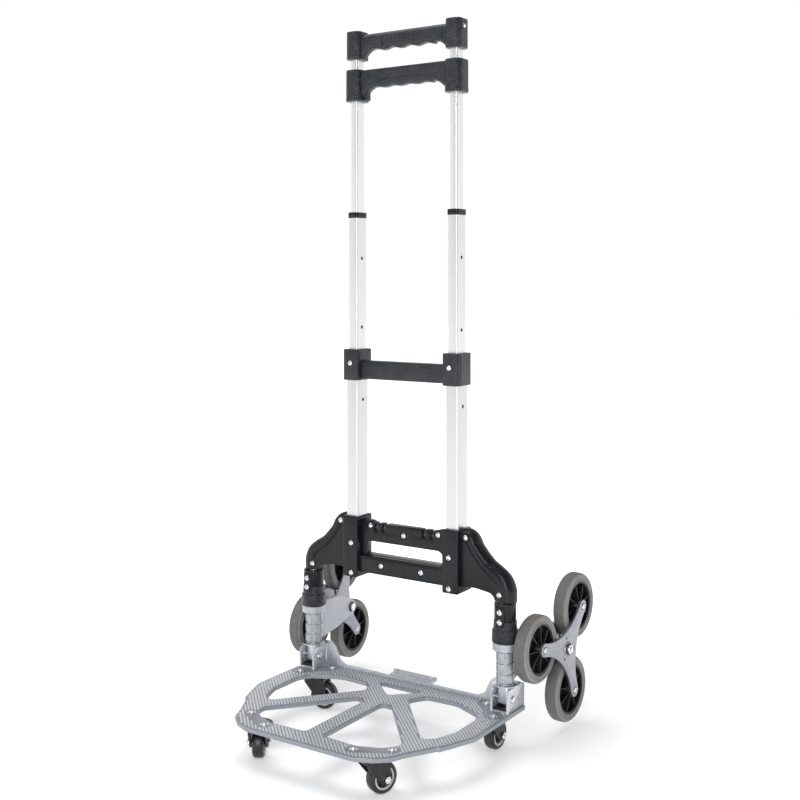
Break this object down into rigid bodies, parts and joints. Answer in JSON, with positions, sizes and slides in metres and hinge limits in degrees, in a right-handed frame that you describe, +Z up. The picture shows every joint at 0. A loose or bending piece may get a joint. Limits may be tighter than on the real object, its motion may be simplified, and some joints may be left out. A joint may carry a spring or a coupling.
{
  "type": "stair climbing trolley",
  "caption": "Folding hand trolley with a telescoping post, a toe plate on swivel casters and rotating wheel stars that climb stairs.",
  "frame": {"origin": "on the floor, in the middle of the plan box", "axes": "+Z up along the posts; the toe plate points towards -Y; +X is on the right of someone who looks at the trolley from the toe plate's side"},
  "size_m": [0.4356, 0.4303, 1],
  "materials": {
    "satin_aluminium": "satin anodised",
    "black_plastic": "fine textured, slight gloss",
    "cast_silver": "grainy cast, silver painted",
    "silver_paint": "silver grey paint",
    "bright_zinc": "bright zinc plate",
    "grey_tyre": "matt rubber",
    "black_hub": "moulded",
    "black_steel": "black paint",
    "caster_tyre": "smooth"
  },
  "bodies": {
    "frame": {"base_clamp_front": "black_plastic", "base_clamp_rear": "black_plastic", "flange_washer_left": "bright_zinc", "flange_washer_right": "bright_zinc", "leg_socket_left": "black_plastic", "leg_socket_right": "black_plastic", "leg_tube_left": "bright_zinc", "leg_tube_right": "bright_zinc", "middle_clamp": "black_plastic", "outer_post_left": "satin_aluminium", "outer_post_right": "satin_aluminium", "star_axle_left": "bright_zinc", "star_axle_right": "bright_zinc", "star_carrier_left": "cast_silver", "star_carrier_right": "cast_silver"},
    "toe": {"caster_mount_front_left": "black_steel", "caster_mount_front_right": "black_steel", "caster_mount_rear_left": "black_steel", "caster_mount_rear_right": "black_steel", "hinge_bracket_left": "bright_zinc", "hinge_bracket_right": "bright_zinc", "hinge_pin_left": "bright_zinc", "hinge_pin_right": "bright_zinc", "rear_lip": "silver_paint", "toe_plate": "silver_paint"},
    "middle_stage": {"middle_post_left": "satin_aluminium", "middle_post_right": "satin_aluminium", "stage_ring_left": "black_plastic", "stage_ring_right": "black_plastic"},
    "inner_stage": {"inner_post_left": "satin_aluminium", "inner_post_right": "satin_aluminium", "top_handle": "black_plastic"},
    "release": {"lock_rod_left": "bright_zinc", "lock_rod_right": "bright_zinc", "release_handle": "black_plastic"},
    "star_left": {"star_inner_plate_left": "bright_zinc", "star_outer_plate_left": "bright_zinc"},
    "stair_wheel_left_1": {"tyre_left_1": "grey_tyre", "hub_left_1": "black_hub"},
    "stair_wheel_left_2": {"tyre_left_2": "grey_tyre", "hub_left_2": "black_hub"},
    "stair_wheel_left_3": {"tyre_left_3": "grey_tyre", "hub_left_3": "black_hub"},
    "star_right": {"star_inner_plate_right": "bright_zinc", "star_outer_plate_right": "bright_zinc"},
    "stair_wheel_right_1": {"tyre_right_1": "grey_tyre", "hub_right_1": "black_hub"},
    "stair_wheel_right_2": {"tyre_right_2": "grey_tyre", "hub_right_2": "black_hub"},
    "stair_wheel_right_3": {"tyre_right_3": "grey_tyre", "hub_right_3": "black_hub"},
    "caster_front_left": {"caster_fork_front_left": "black_steel"},
    "caster_wheel_front_left": {"caster_wheel_front_left": "caster_tyre"},
    "caster_front_right": {"caster_fork_front_right": "black_steel"},
    "caster_wheel_front_right": {"caster_wheel_front_right": "caster_tyre"},
    "caster_rear_left": {"caster_fork_rear_left": "black_steel"},
    "caster_wheel_rear_left": {"caster_wheel_rear_left": "caster_tyre"},
    "caster_rear_right": {"caster_fork_rear_right": "black_steel"},
    "caster_wheel_rear_right": {"caster_wheel_rear_right": "caster_tyre"}
  },
  "joints": [
    {"name": "toe_plate_fold", "type": "hinge", "parent": "frame", "child": "toe", "pos_m": [0, 0.02625, 0.0725], "axis": [-1, 0, 0], "range_deg": [0, 90]},
    {"name": "middle_stage_slide", "type": "slide", "parent": "frame", "child": "middle_stage", "axis": [0, 0, 1], "range_m": [-0.188, 0]},
    {"name": "inner_stage_slide", "type": "slide", "parent": "middle_stage", "child": "inner_stage", "axis": [0, 0, 1], "range_m": [-0.158, 0]},
    {"name": "release_slide", "type": "slide", "parent": "inner_stage", "child": "release", "axis": [0, 0, 1], "range_m": [0, 0.012], "stiffness_N_per_m": 300, "springref_m": -0.01},
    {"name": "star_left_spin", "type": "hinge", "parent": "frame", "child": "star_left", "pos_m": [-0.19587, 0.12488, 0.121], "axis": [-0.999, -0.0454, 0], "continuous": true},
    {"name": "stair_wheel_left_1_spin", "type": "hinge", "parent": "star_left", "child": "stair_wheel_left_1", "pos_m": [-0.19789, 0.16933, 0.07158], "axis": [-0.999, -0.0454, 0], "continuous": true},
    {"name": "stair_wheel_left_2_spin", "type": "hinge", "parent": "star_left", "child": "stair_wheel_left_2", "pos_m": [-0.1968, 0.14541, 0.18424], "axis": [-0.999, -0.0454, 0], "continuous": true},
    {"name": "stair_wheel_left_3_spin", "type": "hinge", "parent": "star_left", "child": "stair_wheel_left_3", "pos_m": [-0.19292, 0.0599, 0.10717], "axis": [-0.999, -0.0454, 0], "continuous": true},
    {"name": "star_right_spin", "type": "hinge", "parent": "frame", "child": "star_right", "pos_m": [0.19587, 0.12488, 0.121], "axis": [0.999, -0.0454, 0], "continuous": true},
    {"name": "stair_wheel_right_1_spin", "type": "hinge", "parent": "star_right", "child": "stair_wheel_right_1", "pos_m": [0.1979, 0.16959, 0.17019], "axis": [0.999, -0.0454, 0], "continuous": true},
    {"name": "stair_wheel_right_2_spin", "type": "hinge", "parent": "star_right", "child": "stair_wheel_right_2", "pos_m": [0.19292, 0.05997, 0.13517], "axis": [0.999, -0.0454, 0], "continuous": true},
    {"name": "stair_wheel_right_3_spin", "type": "hinge", "parent": "star_right", "child": "stair_wheel_right_3", "pos_m": [0.19679, 0.14508, 0.05765], "axis": [0.999, -0.0454, 0], "continuous": true},
    {"name": "caster_front_left_swivel", "type": "hinge", "parent": "toe", "child": "caster_front_left", "pos_m": [-0.0927, -0.18215, 0.047], "axis": [0, 0, 1], "continuous": true},
    {"name": "caster_front_left_roll", "type": "hinge", "parent": "caster_front_left", "child": "caster_wheel_front_left", "pos_m": [-0.09991, -0.17133, 0.02], "axis": [0.832, 0.5548, 0], "continuous": true},
    {"name": "caster_front_right_swivel", "type": "hinge", "parent": "toe", "child": "caster_front_right", "pos_m": [0.0927, -0.18215, 0.047], "axis": [0, 0, 1], "continuous": true},
    {"name": "caster_front_right_roll", "type": "hinge", "parent": "caster_front_right", "child": "caster_wheel_front_right", "pos_m": [0.09723, -0.16997, 0.02], "axis": [0.9373, -0.3486, 0], "continuous": true},
    {"name": "caster_rear_left_swivel", "type": "hinge", "parent": "toe", "child": "caster_rear_left", "pos_m": [-0.1478, 0.01575, 0.047], "axis": [0, 0, 1], "continuous": true},
    {"name": "caster_rear_left_roll", "type": "hinge", "parent": "caster_rear_left", "child": "caster_wheel_rear_left", "pos_m": [-0.13525, 0.01916, 0.02], "axis": [0.2622, -0.965, 0], "continuous": true},
    {"name": "caster_rear_right_swivel", "type": "hinge", "parent": "toe", "child": "caster_rear_right", "pos_m": [0.1478, 0.01575, 0.047], "axis": [0, 0, 1], "continuous": true},
    {"name": "caster_rear_right_roll", "type": "hinge", "parent": "caster_rear_right", "child": "caster_wheel_rear_right", "pos_m": [0.14825, 0.02874, 0.02], "axis": [0.9994, -0.0349, 0], "continuous": true}
  ]
}
